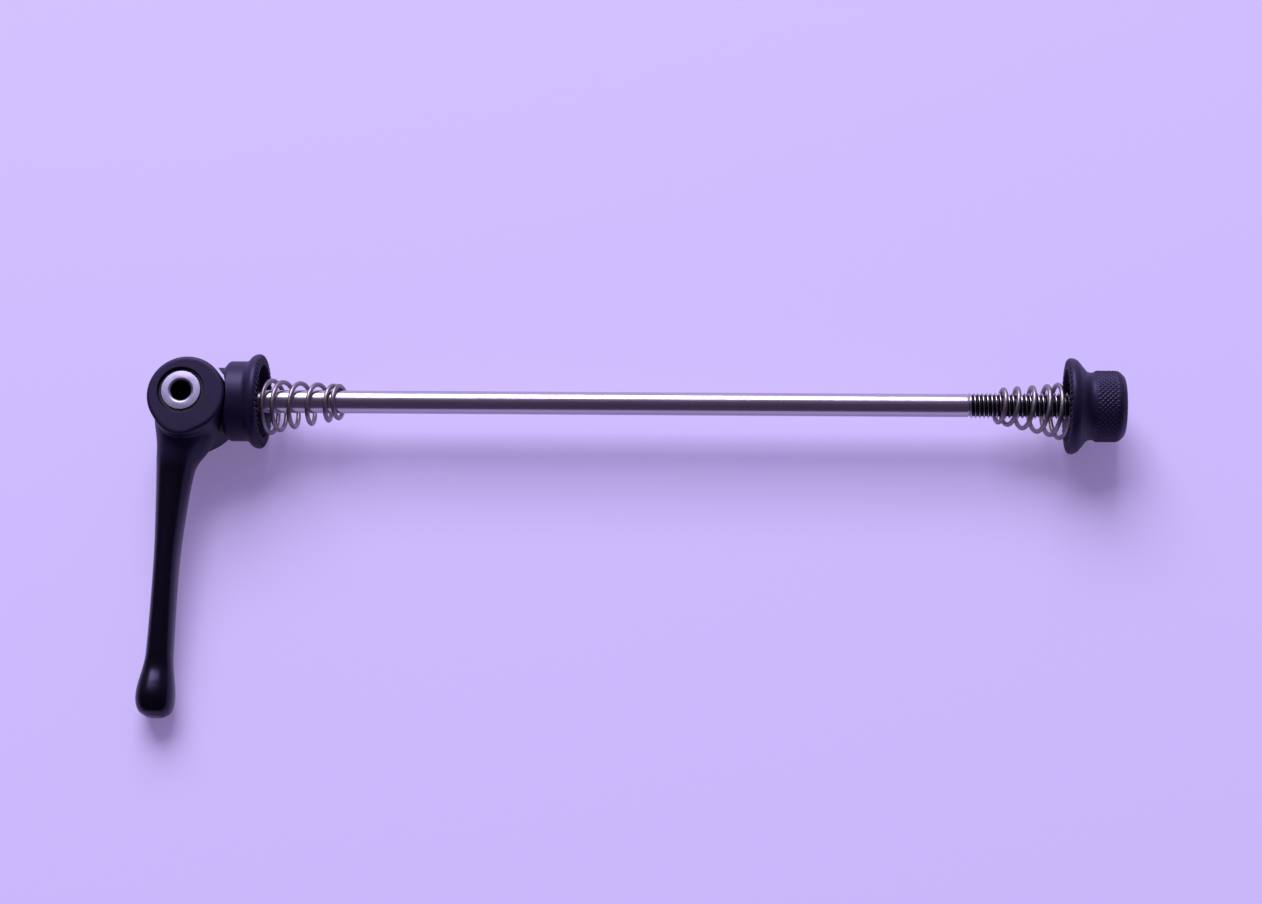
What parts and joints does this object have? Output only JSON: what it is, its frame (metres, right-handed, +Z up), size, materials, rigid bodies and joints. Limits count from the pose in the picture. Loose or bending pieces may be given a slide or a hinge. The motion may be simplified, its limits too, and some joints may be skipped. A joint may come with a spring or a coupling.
{
  "type": "quick release skewer",
  "caption": "Slim steel rod with a black cam lever and toothed cap at one end and a knurled toothed nut at the other; it clamps a bicycle wheel into its frame.",
  "frame": {"origin": "on the rod's axis, midway between the two clamp faces", "axes": "+X along the rod from the lever to the nut, +Z up as it lies on a table, lever closed towards -Y"},
  "size_m": [0.185, 0.0704, 0.0182],
  "materials": {
    "rod_steel": "polished lengthwise, rolled threads",
    "bright_alloy": "bright turned",
    "black_alloy": "satin black anodised",
    "black_polymer": "smooth moulded",
    "nylon": "natural nylon",
    "spring_steel": "drawn wire"
  },
  "bodies": {
    "skewer": {"rod": "rod_steel", "pivot_barrel": "bright_alloy"},
    "lever": {"lever": "black_alloy", "upper_pivot_bush": "black_polymer", "lower_pivot_bush": "black_polymer"},
    "cap": {"clamp_cap": "black_alloy", "cam_saddle": "black_polymer", "lever_side_spring": "spring_steel"},
    "nut_spring": {"nut_side_spring": "spring_steel"},
    "nut": {"adjusting_nut": "black_alloy", "nut_lock_ring": "nylon"}
  },
  "joints": [
    {"name": "lever_pivot", "type": "hinge", "parent": "skewer", "child": "lever", "pos_m": [-0.0911, 0, 0], "axis": [0, 0.0888, -0.9961], "range_deg": [0, 150]},
    {"name": "cap_slide", "type": "slide", "parent": "skewer", "child": "cap", "axis": [1, 0, 0], "range_m": [-0.00196, 0]},
    {"name": "nut_advance", "type": "slide", "parent": "skewer", "child": "nut_spring", "axis": [-1, 0, 0], "range_m": [-0.00481, 0.01601]},
    {"name": "nut_turn", "type": "hinge", "parent": "nut_spring", "child": "nut", "pos_m": [0.082, 0, 0], "axis": [-1, 0, 0], "range_deg": [-2160, 7200]}
  ],
  "couplings": [
    {"joint": "cap_slide", "follows": "lever_pivot", "m_per_rad": -0.00074484},
    {"joint": "nut_advance", "follows": "nut_turn", "m_per_rad": 0.00012732}
  ]
}
